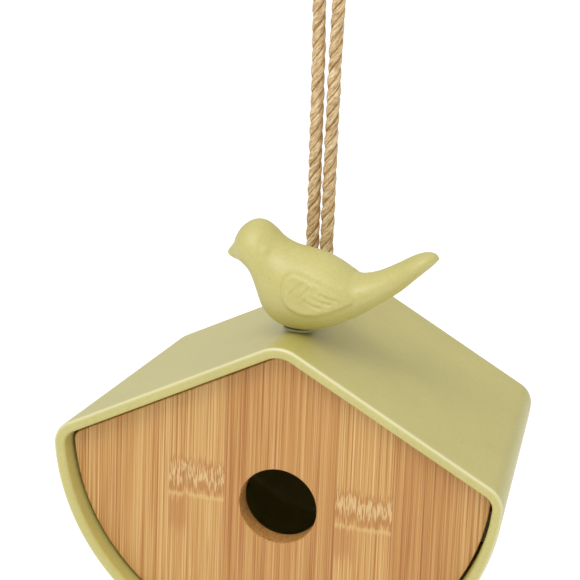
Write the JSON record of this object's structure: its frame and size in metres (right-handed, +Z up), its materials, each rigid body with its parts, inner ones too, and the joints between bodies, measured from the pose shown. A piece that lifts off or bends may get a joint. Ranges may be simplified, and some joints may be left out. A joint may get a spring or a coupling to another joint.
{
  "type": "hanging birdhouse",
  "caption": "Hanging ceramic birdhouse with a gable roof, round bottom, bamboo front with a round entrance, a bird on the ridge and a doubled rope loop.",
  "frame": {"origin": "inside of the rope loop's top, where a hook bears", "axes": "+Z up along the hanging rope, -Y out of the entrance, +X to the right as the front is faced"},
  "size_m": [0.1854, 0.1165, 0.3494],
  "materials": {
    "glaze": "matte",
    "bamboo": "satin",
    "jute": "matte",
    "steel": "satin",
    "silicone": "satin",
    "pad_rubber": "matte"
  },
  "bodies": {
    "hanging_rope": {"rope": "jute"},
    "knot": {"rope_knot": "jute"},
    "house": {"shell": "glaze", "bird": "glaze", "bird_washer": "silicone", "bird_stud": "steel", "bird_inner_washer": "steel", "bird_nut": "steel"},
    "board": {"front_panel": "bamboo", "panel_pad_1": "pad_rubber", "panel_pad_2": "pad_rubber", "panel_pad_3": "pad_rubber", "panel_pad_4": "pad_rubber"}
  },
  "joints": [
    {"name": "house_turn", "type": "hinge", "parent": "hanging_rope", "child": "knot", "pos_m": [0, 0, -0.2101], "axis": [0, 0, 1], "range_deg": [-180, 180]},
    {"name": "house_nod", "type": "hinge", "parent": "knot", "child": "house", "pos_m": [0, 0, -0.2101], "axis": [1, 0, 0], "range_deg": [-8, 8]},
    {"name": "board_pull", "type": "slide", "parent": "house", "child": "board", "axis": [0, -1, 0], "range_m": [0, 0.04]}
  ]
}
